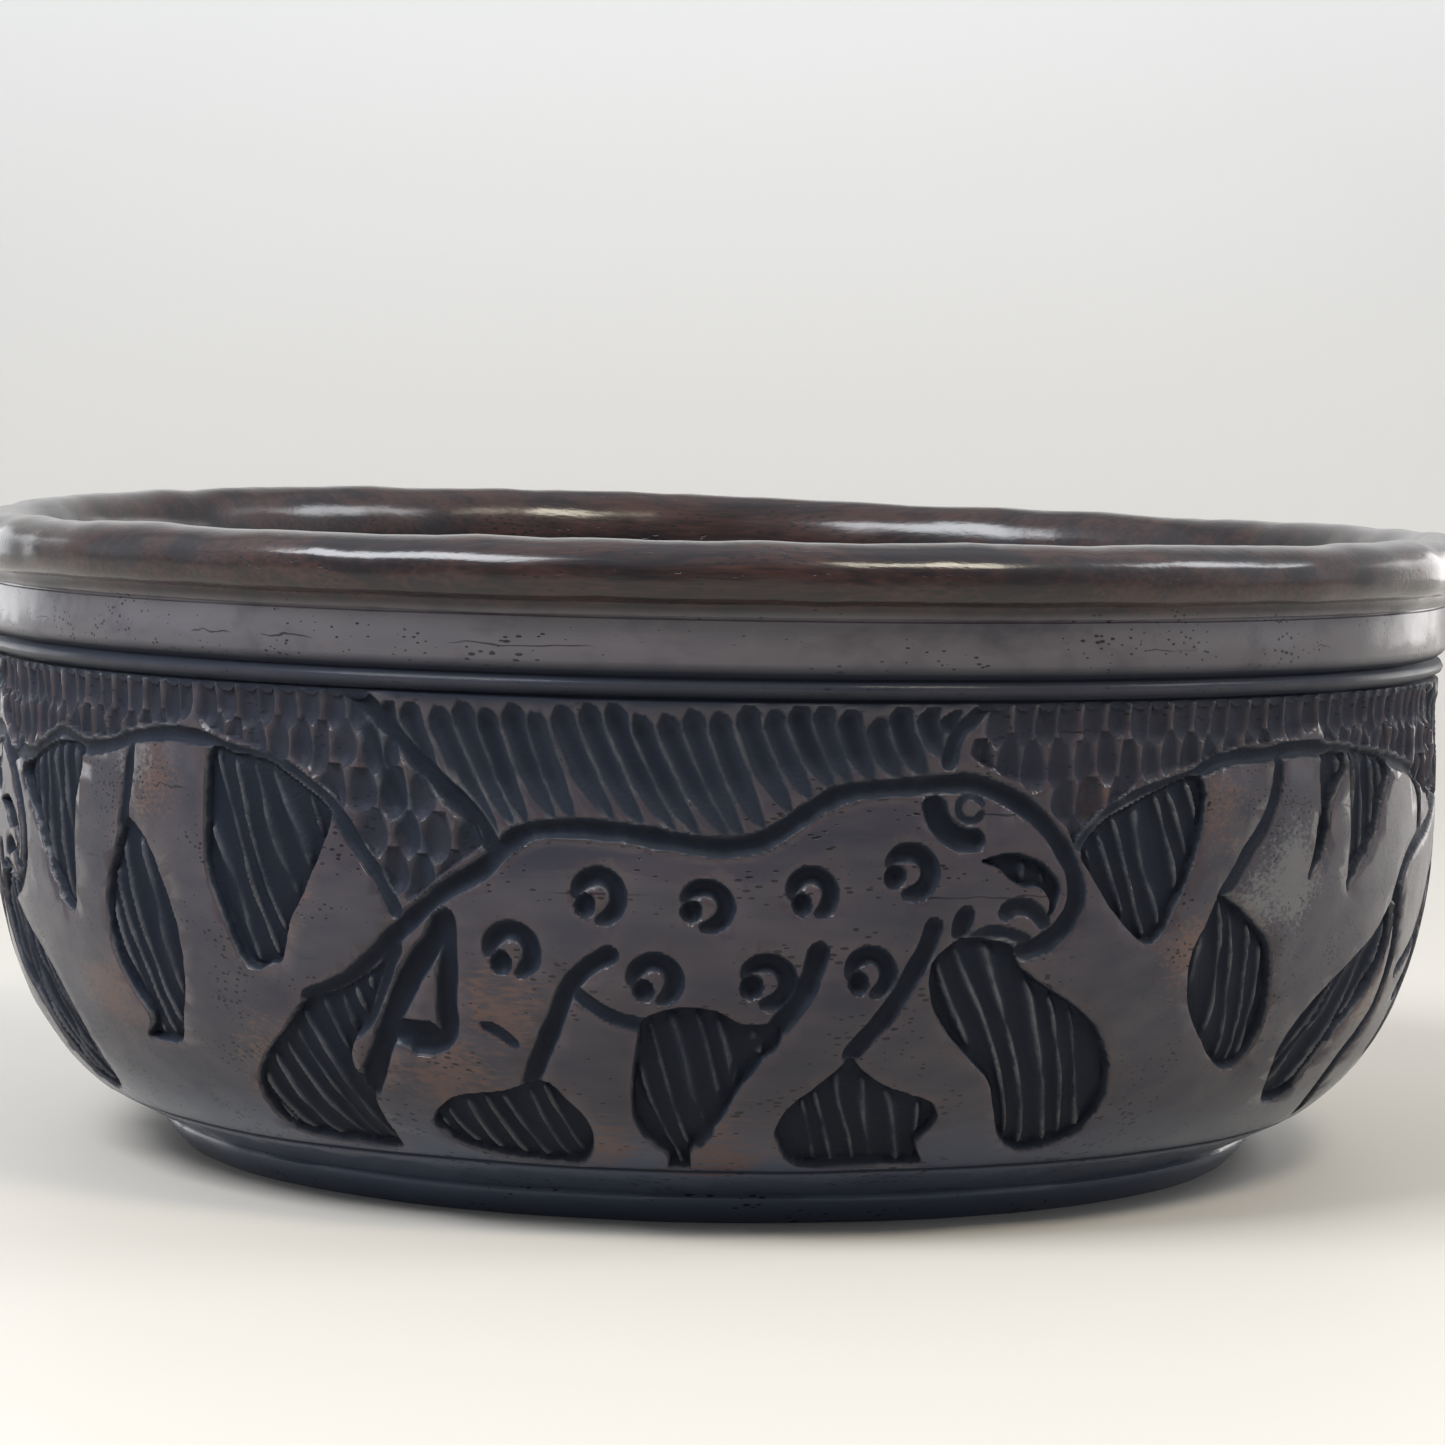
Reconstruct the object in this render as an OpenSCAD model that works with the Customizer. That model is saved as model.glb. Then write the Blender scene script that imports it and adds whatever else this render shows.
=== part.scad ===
/* [Bowl] */
// Height from the table to the top of the rim
bowl_h = 125; // [115:1:135]
// Radius of the carved wall at its fullest
wall_r = 145; // [138:1:152]
// Thickness of the wall at its fullest
wall_t = 11.5; // [9:0.5:14]
// Thickness of the floor
floor_t = 11; // [8:0.5:14]

/* [Rim] */
// How far the rolled rim stands out past the carved wall
rim_out = 6.5; // [5:0.5:9]
// Height of the rolled rim
rim_h = 11; // [9:0.5:13]
// Width of the rolled rim from its inner to its outer face
rim_w = 15; // [13:0.5:18]

/* [Collar] */
// Height of the plain band under the rim
collar_h = 10.5; // [8:0.5:13]
// How far the plain band stands out past the carved wall
collar_out = 1.6; // [1:0.1:2.5]
// Width of the two turned grooves under the plain band
groove_w = 1.6; // [1:0.1:2.2]
// Depth of the turned grooves
groove_d = 1.2; // [0.8:0.1:1.6]

/* [Foot] */
// Radius of the foot where it meets the table
foot_r = 106; // [98:1:112]
// Height of the foot ring
foot_h = 5; // [4:0.5:7]
// Width of the flat ring that the bowl stands on
foot_w = 18; // [12:1:26]
// Depth of the hollow under the foot
foot_hollow = 3; // [2:0.5:4]

/* [Hidden] */

turn_fn = 180;         // facets that a preview draws round the bowl
curve_steps = 14;      // straight runs in each curved stretch of a profile
fullness = 2.3;        // 2 is an ellipse, and more is a squarer shoulder
wall_base_z = 12;      // where the carved wall ends, above the foot
wall_mid_z = 72;       // height at which the wall is fullest
wall_low_z = 6;        // height at which the wall's curve would turn flat
curve_r = 45;          // width of the wall's curve, out from the floor

rim_bottom_z = bowl_h - rim_h;
collar_bottom_z = rim_bottom_z - collar_h - 1.5;
collar_r = wall_r + collar_out;
bead_z = collar_bottom_z - groove_w - 1;
field_top_z = bead_z - 1 - groove_w;
rim_mid_r = wall_r + rim_out - rim_w / 2;
floor_z = foot_hollow + floor_t;

// Radius at height z of a full-bellied curve that is widest at wall_mid_z.
function belly(z, widest, low_z) =
    widest - curve_r + curve_r
    * pow(1 - pow(max(0, wall_mid_z - z) / (wall_mid_z - low_z), fullness), 1 / fullness);

// Heights from low to high, closer together near the low end, where the curve is tight.
function heights(low, high) =
    [for (i = [0 : curve_steps]) low + (high - low) * pow(i / curve_steps, 1.6)];

// Points on an ellipse from one angle to another.
function arc(centre, size, from, to, steps) =
    [for (i = [0 : steps])
        let (a = from + (to - from) * i / steps)
        [centre[0] + size[0] * cos(a), centre[1] + size[1] * sin(a)]];

function foot_profile() = [
    [0, foot_hollow],
    [foot_r - foot_w - 2, foot_hollow],
    [foot_r - foot_w, 0],
    [foot_r, 0],
    [foot_r + 3.5, foot_h - 1.5],
    [foot_r + 4.2, foot_h],
    [foot_r + 3.6, foot_h + 0.8],
];

// The outer face, from the groove above the foot to the groove under the collar.
function wall_profile() =
    [for (z = heights(wall_base_z, wall_mid_z)) [belly(z, wall_r, wall_low_z), z]];

function collar_profile() = [
    [wall_r, field_top_z],
    [wall_r - groove_d, field_top_z + groove_w / 2],
    [wall_r + 0.4, field_top_z + groove_w],
    [wall_r + 0.9, bead_z],
    [wall_r + 0.4, bead_z + 1],
    [wall_r - groove_d / 2, bead_z + 1 + groove_w / 2],
    [collar_r, collar_bottom_z],
    [collar_r - 0.6, rim_bottom_z - 1.5],
    [collar_r - 0.2, rim_bottom_z - 0.6],
];

// The rolled rim, from its lower outer lip over the top to the inside.
function rim_profile() =
    arc([rim_mid_r, bowl_h - rim_h / 2], [rim_w / 2, rim_h / 2], -50, 215, 22);

function inside_profile() =
    [for (z = [for (h = heights(floor_z, wall_mid_z)) floor_z + wall_mid_z - h])
        [belly(z, wall_r - wall_t, floor_z), z]];

module turned_blank() {
    rotate_extrude($fn = turn_fn)
        polygon(concat(
            foot_profile(), wall_profile(), collar_profile(), rim_profile(),
            inside_profile(), [[0, floor_z]]));
}

module bowl() {
    color([0.10, 0.07, 0.06]) turned_blank();
}

bowl();
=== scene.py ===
import math
import bpy
from mathutils import Matrix, Vector


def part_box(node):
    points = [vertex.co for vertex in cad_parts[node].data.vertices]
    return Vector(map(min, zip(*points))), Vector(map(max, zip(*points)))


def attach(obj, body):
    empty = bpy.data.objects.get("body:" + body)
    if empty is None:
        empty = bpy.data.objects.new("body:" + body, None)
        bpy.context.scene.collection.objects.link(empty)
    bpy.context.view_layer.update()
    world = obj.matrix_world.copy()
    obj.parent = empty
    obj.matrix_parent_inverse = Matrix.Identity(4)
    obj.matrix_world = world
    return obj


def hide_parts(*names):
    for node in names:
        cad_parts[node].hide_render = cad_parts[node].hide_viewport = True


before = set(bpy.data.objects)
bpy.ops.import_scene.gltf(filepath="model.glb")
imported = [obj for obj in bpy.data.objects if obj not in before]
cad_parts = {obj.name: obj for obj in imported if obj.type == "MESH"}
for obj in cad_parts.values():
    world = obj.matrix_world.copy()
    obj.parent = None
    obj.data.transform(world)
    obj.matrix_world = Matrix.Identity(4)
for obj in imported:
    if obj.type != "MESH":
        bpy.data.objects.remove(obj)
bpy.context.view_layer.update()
print("frame loaded")

mm = 0.001


# small helpers for node trees

def addNode(tree, kind, inputs=None, **settings):
    node = tree.nodes.new(kind)
    for name, value in settings.items():
        setattr(node, name, value)
    for key, value in (inputs or {}).items():
        if isinstance(value, bpy.types.NodeSocket):
            tree.links.new(value, node.inputs[key])
        else:
            node.inputs[key].default_value = value
    return node


def calc(tree, operation, *values, clamp=False):
    node = addNode(tree, "ShaderNodeMath", dict(enumerate(values)), operation=operation)
    node.use_clamp = clamp
    return node.outputs[0]


def times(tree, a, b):
    return calc(tree, "MULTIPLY", a, b)


def plus(tree, a, b):
    return calc(tree, "ADD", a, b)


def minus(tree, a, b):
    return calc(tree, "SUBTRACT", a, b)


def larger(tree, a, b):
    return calc(tree, "MAXIMUM", a, b)


def blend(tree, share, a, b):
    return addNode(tree, "ShaderNodeMix", {0: share, 2: a, 3: b}).outputs[0]


def mixed(tree, share, a, b):
    # a colour between two colours
    return addNode(tree, "ShaderNodeMix", {0: share, 6: a, 7: b}, data_type="RGBA").outputs[2]


def vec(tree, operation, *values):
    node = addNode(tree, "ShaderNodeVectorMath", dict(enumerate(values)), operation=operation)
    return node.outputs[0]


def xyz(tree, x=0.0, y=0.0, z=0.0):
    return addNode(tree, "ShaderNodeCombineXYZ", {0: x, 1: y, 2: z}).outputs[0]


def parts(tree, vector):
    return addNode(tree, "ShaderNodeSeparateXYZ", {0: vector}).outputs


def remap(tree, value, low, high, newLow=0.0, newHigh=1.0, smooth=False):
    kind = "SMOOTHSTEP" if smooth else "LINEAR"
    node = addNode(tree, "ShaderNodeMapRange", {0: value, 1: low, 2: high, 3: newLow, 4: newHigh},
                   interpolation_type=kind)
    return node.outputs[0]


def noise(tree, vector, scale, detail=2.0, roughness=0.5):
    node = addNode(tree, "ShaderNodeTexNoise",
                   {"Vector": vector, "Scale": scale, "Detail": detail, "Roughness": roughness})
    return node.outputs[0]


def stored(tree, name, kind="FLOAT"):
    return addNode(tree, "GeometryNodeInputNamedAttribute", {"Name": name}, data_type=kind).outputs[0]


def store(tree, geometry, name, value, kind="FLOAT"):
    node = addNode(tree, "GeometryNodeStoreNamedAttribute",
                   {"Geometry": geometry, "Name": name, "Value": value}, data_type=kind, domain="POINT")
    return node.outputs[0]


def distanceTo(tree, shape, place, element):
    return addNode(tree, "GeometryNodeProximity", {0: shape, "Sample Position": place},
                   target_element=element).outputs["Distance"]


def joined(tree, *pieces):
    node = addNode(tree, "GeometryNodeJoinGeometry")
    for piece in pieces:
        tree.links.new(piece, node.inputs[0])
    return node.outputs[0]


def shapeOf(tree, socket):
    return addNode(tree, "GeometryNodeObjectInfo", {"Object": socket}).outputs["Geometry"]


def newTree(name, sockets):
    tree = bpy.data.node_groups.new(name, "GeometryNodeTree")
    face = tree.interface
    face.new_socket("Geometry", in_out="INPUT", socket_type="NodeSocketGeometry")
    for label, value in sockets.items():
        kinds = {float: "Float", int: "Int", bpy.types.Object: "Object", bpy.types.Material: "Material"}
        socket = face.new_socket(label, in_out="INPUT", socket_type="NodeSocket" + kinds[type(value)])
        if isinstance(value, (float, int)):
            socket.default_value = value
    face.new_socket("Geometry", in_out="OUTPUT", socket_type="NodeSocketGeometry")
    return tree, tree.nodes.new("NodeGroupInput").outputs


def finishTree(tree, geometry, material):
    real = addNode(tree, "GeometryNodeRealizeInstances", {0: geometry})
    painted = addNode(tree, "GeometryNodeSetMaterial", {0: real.outputs[0], "Material": material})
    end = tree.nodes.new("NodeGroupOutput")
    tree.links.new(painted.outputs[0], end.inputs[0])


def runTree(source, tree, values, name):
    # the tree's result as a plain mesh object
    modifier = source.modifiers.new("tree", "NODES")
    modifier.node_group = tree
    for item in tree.interface.items_tree:
        if item.in_out == "INPUT" and item.name in values:
            modifier[item.identifier] = values[item.name]
    return plainMesh(source, name)


def plainMesh(source, name):
    graph = bpy.context.evaluated_depsgraph_get()
    mesh = bpy.data.meshes.new_from_object(source.evaluated_get(graph), depsgraph=graph)
    mesh.name = name
    source.modifiers.clear()
    result = bpy.data.objects.new(name, mesh)
    bpy.context.scene.collection.objects.link(result)
    return result


def scratch(name, data):
    made = bpy.data.objects.new(name, data)
    bpy.context.scene.collection.objects.link(made)
    return made


# the carving, in millimetres on the unrolled wall: first along the wall to the viewer's right,
# then up the wall from the groove above the foot

layout = {
    "wallRound": 145.0,        # radius at which lengths along the wall are true
    "fieldHeight": 92.8,       # from the lower groove to the groove under the bead
    "animals": [(0, 1.0, ()), (-223, 0.9, ()), (243, 0.9, ("tailLeaf",)),
                (465.5, 0.9, ()), (-445.5, 0.9, ())],
    "trees": [("forked", -121, 1.0), ("spread", 121, 1.0), ("forked", 356, 0.9), ("spread", -338, 0.9)],
}

leopard = {
    "grooves": [
        # tail, rump, back, head and muzzle in one line
        (3.5, [(-78, 36), (-73, 37.5), (-67, 40.5), (-61.5, 45), (-57, 49.5), (-52, 54), (-47, 58),
               (-41, 61.5), (-37.5, 65), (-33, 68.3), (-27, 69.4), (-17, 69.2), (-7, 67.8), (1, 66.8),
               (7, 67.5), (11, 69.3), (15, 72), (19.5, 75), (24, 76.7), (31, 77.4), (38, 77.8),
               (45, 78.2), (51.5, 76.3), (58, 72.3), (63, 67), (66, 61.5), (66.3, 56.5), (63.5, 52),
               (59.5, 49.3), (54, 48)]),
        (3.5, [(-56.5, 48.5), (-59, 44.5), (-60.5, 40.5), (-62, 37), (-64.5, 33.5), (-69, 29.5)]),
        (4.5, [(-47.3, 54.5), (-49, 49.5), (-52.5, 45), (-56, 40), (-59, 34.5), (-61.5, 29),
               (-64.5, 23.5), (-68, 17)]),
        (3.9, [(-47.6, 55), (-47.2, 46), (-47.8, 38), (-48.2, 32), (-51.5, 29), (-57, 29.6)]),
        (4.8, [(-49.5, 31.8), (-55, 30.8), (-62, 32)]),
        (3.4, [(-16, 48.4), (-21.5, 45.3), (-25, 41.3), (-27.3, 36), (-29.5, 31), (-31.8, 26),
               (-34, 20)]),
        (2.7, [(-25.5, 42), (-21, 38.5), (-16.5, 36), (-9, 34.5)]),
        (3.5, [(19.5, 50.8), (18.2, 45.5), (16.5, 41), (14, 37), (10.5, 33), (6.5, 29), (4, 23),
               (1, 16), (-3, 8)]),
        (3.3, [(39.8, 55), (38.2, 49), (36, 44.8), (33.5, 40), (31, 36), (28, 32.5), (25, 28)]),
        (2.4, [(45, 50.2), (50, 52), (54, 51.5), (58.5, 49.5)]),
        (3.4, [(46.2, 56.8), (44.8, 54.3), (44.3, 50)]),
        (3.0, [(51.5, 54.2), (54, 56.3), (57, 56.2), (59.5, 54.5), (61.5, 51.8)]),
        (4.3, [(38.3, 76.5), (40.0, 71.5), (43.5, 68.6), (48.5, 68.2)]),
        (1.6, [(47.8, 73.8), (47.1, 75.4), (45.5, 76.1), (43.9, 75.4), (43.2, 73.8), (43.9, 72.2),
               (45.5, 71.5), (47.1, 72.2), (47.8, 73.8)]),
        (2.0, [(-42, 34), (-38.5, 32.6), (-34.5, 29.6)]),
        # edges of the long grass beside the two trees
        (4.0, [(-68, 93.5), (-63, 89.5), (-56, 83.3), (-48.5, 76.3), (-42.5, 71), (-38, 64.5)]),
        (2.8, [(50, 93), (46, 89.5), (42.5, 86), (41.2, 80)]),
    ],
    # rounded shoulder inside the back line
    "soft": [
        (9.0, [(-35, 64.5), (-28, 66.6), (-17, 66.2), (-7, 64.8), (1, 63.9), (8, 65), (14, 68.5),
               (20, 72.5), (27, 74.2), (36, 74.8)]),
    ],
    "spots": [(-19.8, 57.6), (-1, 56.4), (17.4, 58.8), (34.6, 62.6), (-35.3, 47.4), (-9.8, 43),
              (10, 43), (28.2, 44.6)],
    # how far a pocket's gouge cuts lean from upright, then its outline
    "pockets": {
        "brow": (0, [(47.5, 64.6), (51, 63), (53, 61), (56, 59.6), (59, 59.5), (61, 57), (60.4, 53.3),
                     (63, 56.5), (63.3, 60), (61, 63), (58, 65), (54, 66), (50.5, 65.6)]),
        "tailLeaf": (22, [(-77.5, 36), (-84.5, 29), (-90, 24), (-94, 18.5), (-95, 14), (-94, 8.5),
                          (-91, 4.8), (-85.5, 3), (-77, 2.5), (-69, 1.5), (-65, 4), (-66, 12),
                          (-66.5, 19), (-69, 23.5), (-68, 28), (-64, 33), (-61.5, 39), (-58.5, 45.5),
                          (-63, 42.5), (-69, 39), (-73, 37.5)]),
        "heelLeaf": (20, [(-33.5, 22.5), (-40, 20.3), (-47.5, 19), (-52, 16.5), (-55.3, 12.5),
                          (-55, 9.5), (-50.5, 5), (-42, 2), (-31.5, 0.8), (-26, 1), (-23, 6),
                          (-22.3, 11), (-23.5, 15.5), (-26.5, 19.5), (-30, 23)]),
        "bellyLeaf": (17, [(-12, 36), (-6, 38.3), (1, 38), (6, 35.5), (12.5, 35.5), (13, 31.5),
                           (9.5, 27.5), (6, 22), (3, 15.5), (0, 11), (-3, 6.5), (-3.4, 1),
                           (-7.8, 1), (-8, 5.5), (-11, 8.5), (-13.5, 13), (-14.5, 18),
                           (-14, 25.5), (-13, 32)]),
        "pawLeaf": (14, [(26, 29), (22.5, 25.8), (19, 22.3), (15.5, 19), (13.3, 14.5), (13.5, 10.5),
                         (18.5, 2.5), (33, 1.5), (45, 2), (42.5, 9), (45, 14.5), (44, 18.5),
                         (39.5, 21), (33, 23.5), (28.5, 26.8)]),
        "chestLeaf": (22, [(44.5, 51), (39.8, 47.5), (39, 43), (40.5, 37.5), (44.5, 32), (49, 27.5),
                           (53.5, 23), (56.3, 16.5), (60, 9.5), (66, 5), (71, 5.5), (75.5, 7),
                           (79, 9.7), (80.5, 13.5), (81, 18.5), (79.7, 25), (77, 30), (74, 34),
                           (69, 38), (62.5, 41.8), (56.5, 46), (55, 49.5), (50, 51)]),
    },
    "grass": (-64, 46),
    # ground that stays clear of the bark-like bites
    "clear": [(-66, 95), (-56, 84), (-48, 77), (-42, 71), (-40, 66), (-48, 60), (-60, 50), (-80, 30),
              (82, 30), (67, 50), (68, 62), (64, 70), (56, 77), (48, 81), (43, 84), (46, 89), (50, 95)],
}

trees = {
    "forked": {
        "grooves": [
            (2.8, [(-52, 73), (-45, 75), (-38, 74.8), (-31, 77.5), (-24, 80), (-19, 79), (-14, 78),
                   (-6, 78.8), (3, 81), (13, 82.2), (23, 81.5), (28, 80), (34, 79.3), (39, 78.5),
                   (45, 75.5), (51.5, 71.3), (56.5, 65), (61, 59.5), (65, 52)]),
            (2.7, [(2.2, 81), (1, 72), (-0.5, 63)]),
        ],
        "pockets": {
            "leftGap": (12, [(-38, 75), (-43, 71), (-36, 63), (-27, 52), (-23, 47.5), (-18, 47.7),
                             (-17, 58.5), (-16.5, 68), (-14.5, 77), (-24, 79)]),
            "midLeaf": (13, [(-0.5, 66), (-3, 60), (-6.5, 51.5), (-6.5, 41.5), (-3, 33.5), (0.5, 28),
                             (-2.5, 24), (3, 23), (8.7, 24), (12, 30), (15, 38), (14.5, 48.5),
                             (8.5, 60.5), (3, 65.5)]),
            "rightGap": (22, [(23.3, 80), (22.5, 67), (23, 58), (27.5, 48), (30, 42.3), (33.5, 40.5),
                              (37, 41.8), (40, 43), (42.5, 50.5), (45, 54.5), (48.5, 61.5),
                              (51.5, 69), (49, 72.5), (43, 76), (37, 79), (29, 80)]),
        },
        "clear": [(-54, 73), (-45, 75.5), (-38, 76), (-31, 79), (-24, 81.5), (-14, 79.5), (-6, 80),
                  (3, 82.5), (13, 83.7), (23, 83), (34, 80.5), (45, 77), (51.5, 73), (61, 61),
                  (65, 52), (66, 20), (-54, 20)],
    },
    "spread": {
        "grooves": [
            (2.9, [(-55, 66), (-49.5, 71.2), (-45.5, 74), (-40.5, 75.8), (-33.5, 77.5), (-28.5, 79),
                   (-24, 81), (-18, 81.7), (-10, 81.8), (-0.5, 82.5), (13, 81.3), (23, 80.4),
                   (37, 78.2), (47, 76), (53.5, 71.5), (54.5, 63)]),
            (2.7, [(-7, 82), (-8, 75), (-11, 69), (-15, 64.5), (-18.5, 60), (-22.5, 55)]),
            (3.2, [(86, 71.5), (66.5, 65.4), (52, 61.5), (45, 57), (40, 51)]),
            (3.7, [(43, 56), (44.5, 47), (46, 38), (45, 30), (41, 24), (37, 19), (36.5, 12), (41, 4)]),
            (1.4, [(83, 56), (81, 47), (74, 41), (70, 33), (72, 24), (73.5, 16)]),
        ],
        "pockets": {
            "leftGap": (20, [(-54, 65.5), (-52, 62), (-48.5, 57), (-43.5, 51.7), (-39, 48.6),
                             (-35.5, 49.7), (-32.5, 55), (-29.3, 61), (-27.3, 66.7), (-26.3, 71.5),
                             (-26, 76), (-29, 79), (-40.5, 75.3), (-49.5, 71)]),
            "midLeaf": (4, [(-22, 57), (-25.2, 51.5), (-27.7, 47), (-28, 41.7), (-26.5, 36.3),
                            (-21.5, 29.8), (-14, 23.3), (-8.7, 22), (-5, 25.3), (-3.3, 31),
                            (-4, 38.3), (-7, 47), (-11.5, 51.2), (-17, 55)]),
            "splitOne": (8, [(5.8, 81), (5.5, 73.5), (4.5, 66), (2.3, 58), (6.5, 61.5), (9, 66),
                             (10, 72), (15, 78), (16, 81)]),
            "splitTwo": (6, [(16, 81), (16.8, 70), (16.8, 62), (16.6, 55), (21, 58.5), (28, 65),
                             (31, 71), (34.3, 76), (33.5, 79), (25, 81)]),
            "rightLeaf": (-32, [(40, 52), (33, 46.6), (26.5, 43), (17, 38), (9.5, 32.4), (5.4, 26.5),
                                (6, 19.3), (10, 12.5), (16, 11), (21, 13), (22, 18), (26.5, 25),
                                (34, 31.4), (40, 38), (42, 45)]),
        },
        "clear": [(-56, 66), (-49.5, 72.7), (-40.5, 77.3), (-28.5, 80.5), (-18, 83.2), (-0.5, 84),
                  (13, 82.8), (37, 79.7), (47, 77.5), (54, 73), (66, 67), (88, 73), (90, 20), (-56, 20)],
    },
}


# where the stain has worn away: along the wall, up the wall, reach
wear = {
    "rubbed": [(-79, 17, 26), (-63, 24, 8), (-84, 58, 14), (4, 6, 18), (92, 46, 11), (99, 70, 12),
               (-50, 22, 15), (-38, 36, 13), (-112, 74, 12), (-20, 8, 12), (70, 74, 9), (-132, 30, 14),
               (160, 30, 18), (-190, 12, 20), (215, 14, 22), (290, 40, 18), (-270, 44, 18),
               (370, 14, 22), (-380, 12, 22), (440, 30, 16), (-330, 60, 12), (330, 62, 12)],
    "scraped": [(117, 60, 15), (108, 52, 9), (-118, 77, 7), (-352, 58, 13), (348, 54, 10)],
}


def moved(points, shift, size):
    return [(shift + x * size, y) for x, y in points]


def curveObject(name, strokes):
    data = bpy.data.curves.new(name, "CURVE")
    data.dimensions = "3D"
    for width, points in strokes:
        spline = data.splines.new("POLY")
        spline.points.add(len(points) - 1)
        for point, (x, y) in zip(spline.points, points):
            point.co = (x, y, 0, 1)
            point.radius = width / 2
    return scratch(name, data)


def faceObject(name, outlines, leans=None):
    # one flat face for each outline
    data = bpy.data.meshes.new(name)
    corners = [(x, y, 0) for outline in outlines for x, y in outline]
    faces = []
    first = 0
    for outline in outlines:
        faces.append(list(range(first, first + len(outline))))
        first += len(outline)
    data.from_pydata(corners, [], faces)
    if leans:
        data.attributes.new("lean", "FLOAT", "FACE").data.foreach_set("value", leans)
    return scratch(name, data)


def rounded(points, steps=5):
    # a smooth closed curve through given points
    smooth = []
    count = len(points)
    for i in range(count):
        a, b, c, d = (Vector(points[(i + k) % count]) for k in (-1, 0, 1, 2))
        for step in range(steps):
            t = step / steps
            smooth.append(0.5 * (2 * b + (c - a) * t + (2 * a - 5 * b + 4 * c - d) * t * t
                                 + (3 * b - a - 3 * c + d) * t * t * t))
    return [(p.x, p.y) for p in smooth]


def layOut():
    grooves, soft, spots, pockets, leans, clear, grass = [], [], [], [], [], [], []
    placed = [(leopard, shift, size, skip) for shift, size, skip in layout["animals"]]
    placed += [(trees[kind], shift, size, ()) for kind, shift, size in layout["trees"]]
    for design, shift, size, skip in placed:
        grooves += [(width, moved(points, shift, size)) for width, points in design["grooves"]]
        soft += [(width, moved(points, shift, size)) for width, points in design.get("soft", ())]
        spots += moved(design.get("spots", ()), shift, size)
        clear.append(moved(design["clear"], shift, size))
        if "grass" in design:
            low, high = design["grass"]
            grass.append((shift + low * size, shift + high * size))
        for label, (lean, outline) in design["pockets"].items():
            if label not in skip:
                pockets.append(rounded(moved(outline, shift, size)))
                leans.append(math.radians(lean))
    return {
        "Grooves": curveObject("grooveLines", grooves),
        "Soft": curveObject("softLines", soft),
        "Pockets": faceObject("pocketFaces", pockets, leans),
        "Clear": faceObject("clearFaces", clear),
        "Spots": pointObject("spotPoints", spots),
        "Grass": lineObject("grassLines", grass),
        "Rubs": pointObject("rubPoints", wear["rubbed"]),
        "Scrapes": pointObject("scrapePoints", wear["scraped"]),
    }


def pointObject(name, points):
    data = bpy.data.meshes.new(name)
    data.from_pydata([(point[0], point[1], 0) for point in points], [], [])
    reaches = [point[2] if len(point) > 2 else 1.0 for point in points]
    data.attributes.new("reach", "FLOAT", "POINT").data.foreach_set("value", reaches)
    return scratch(name, data)


def lineObject(name, ranges):
    data = bpy.data.meshes.new(name)
    top = layout["fieldHeight"] - 1.6
    corners = [(x, top, 0) for ends in ranges for x in ends]
    data.from_pydata(corners, [(2 * i, 2 * i + 1) for i in range(len(ranges))], [])
    return scratch(name, data)


# the cutting tools: swept gouges whose undersides give the depth of each cut

tools = {
    "Groove Widening": 1.14,
    "Groove Depth": 0.78,      # depth of a groove over its half width
    "Nose": 2.4,               # length over which a cut starts and ends
    "Spot Radius": 3.75,
    "Spot Width": 3.9,
    "Blade Width": 5.5,
    "Blade Pitch": 4.55,
    "Blade Depth": 1.5,
    "Blade Lean": 0.47,
    "Blade Bend": 0.42,        # how far a blade bows, over its half width
}
barkTools = {
    "Bite Width": 5.7,
    "Bite Length": 9.2,
    "Bite Depth": 1.75,
    "Bite Pitch": 4.8,
    "Row Pitch": 7.2,
    "Wider Below": 1.26,       # the bites of the lower rows are this much wider
    "Seed": 7,
}
biteColumns = 196
biteRows = 5


def sectionCurve(tree, drop, power=2.0):
    # underside of a tool across its path, one unit to each side
    line = addNode(tree, "GeometryNodeCurvePrimitiveLine", {0: (-1.0, 0, 0), 1: (1.0, 0, 0)})
    fine = addNode(tree, "GeometryNodeResampleCurve", {0: line.outputs[0], "Count": 13})
    place = parts(tree, addNode(tree, "GeometryNodeInputPosition").outputs[0])
    bowed = calc(tree, "POWER", calc(tree, "ABSOLUTE", place[0]), power)
    down = times(tree, minus(tree, 1.0, bowed), drop)
    return addNode(tree, "GeometryNodeSetPosition",
                   {0: fine.outputs[0], "Position": xyz(tree, place[0], down)}).outputs[0]


def sweep(tree, curve, drop, nose, wobble=0.0, power=2.0, widening=1.0):
    smooth = addNode(tree, "GeometryNodeCurveSplineType", {0: curve}, spline_type="CATMULL_ROM").outputs[0]
    even = addNode(tree, "GeometryNodeResampleCurve", {0: smooth, "Length": 0.7}, mode="LENGTH").outputs[0]
    upright = addNode(tree, "GeometryNodeSetCurveNormal", {0: even}, mode="Z_UP").outputs[0]
    along = addNode(tree, "GeometryNodeSplineParameter").outputs["Length"]
    whole = addNode(tree, "GeometryNodeSplineLength").outputs[0]
    toEnd = calc(tree, "MINIMUM", along, minus(tree, whole, along))
    near = minus(tree, 1.0, calc(tree, "DIVIDE", toEnd, nose, clamp=True))
    rounding = calc(tree, "SQRT", minus(tree, 1.0005, times(tree, near, near)))
    place = addNode(tree, "GeometryNodeInputPosition").outputs[0]
    uneven = remap(tree, noise(tree, place, 0.15), 0.3, 0.7, 1.0 - wobble, 1.0 + wobble)
    radius = addNode(tree, "GeometryNodeInputRadius").outputs[0]
    size = times(tree, times(tree, radius, rounding), times(tree, uneven, widening))
    swept = addNode(tree, "GeometryNodeCurveToMesh",
                    {0: upright, 1: sectionCurve(tree, drop, power), "Scale": size})
    return swept.outputs[0]


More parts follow.
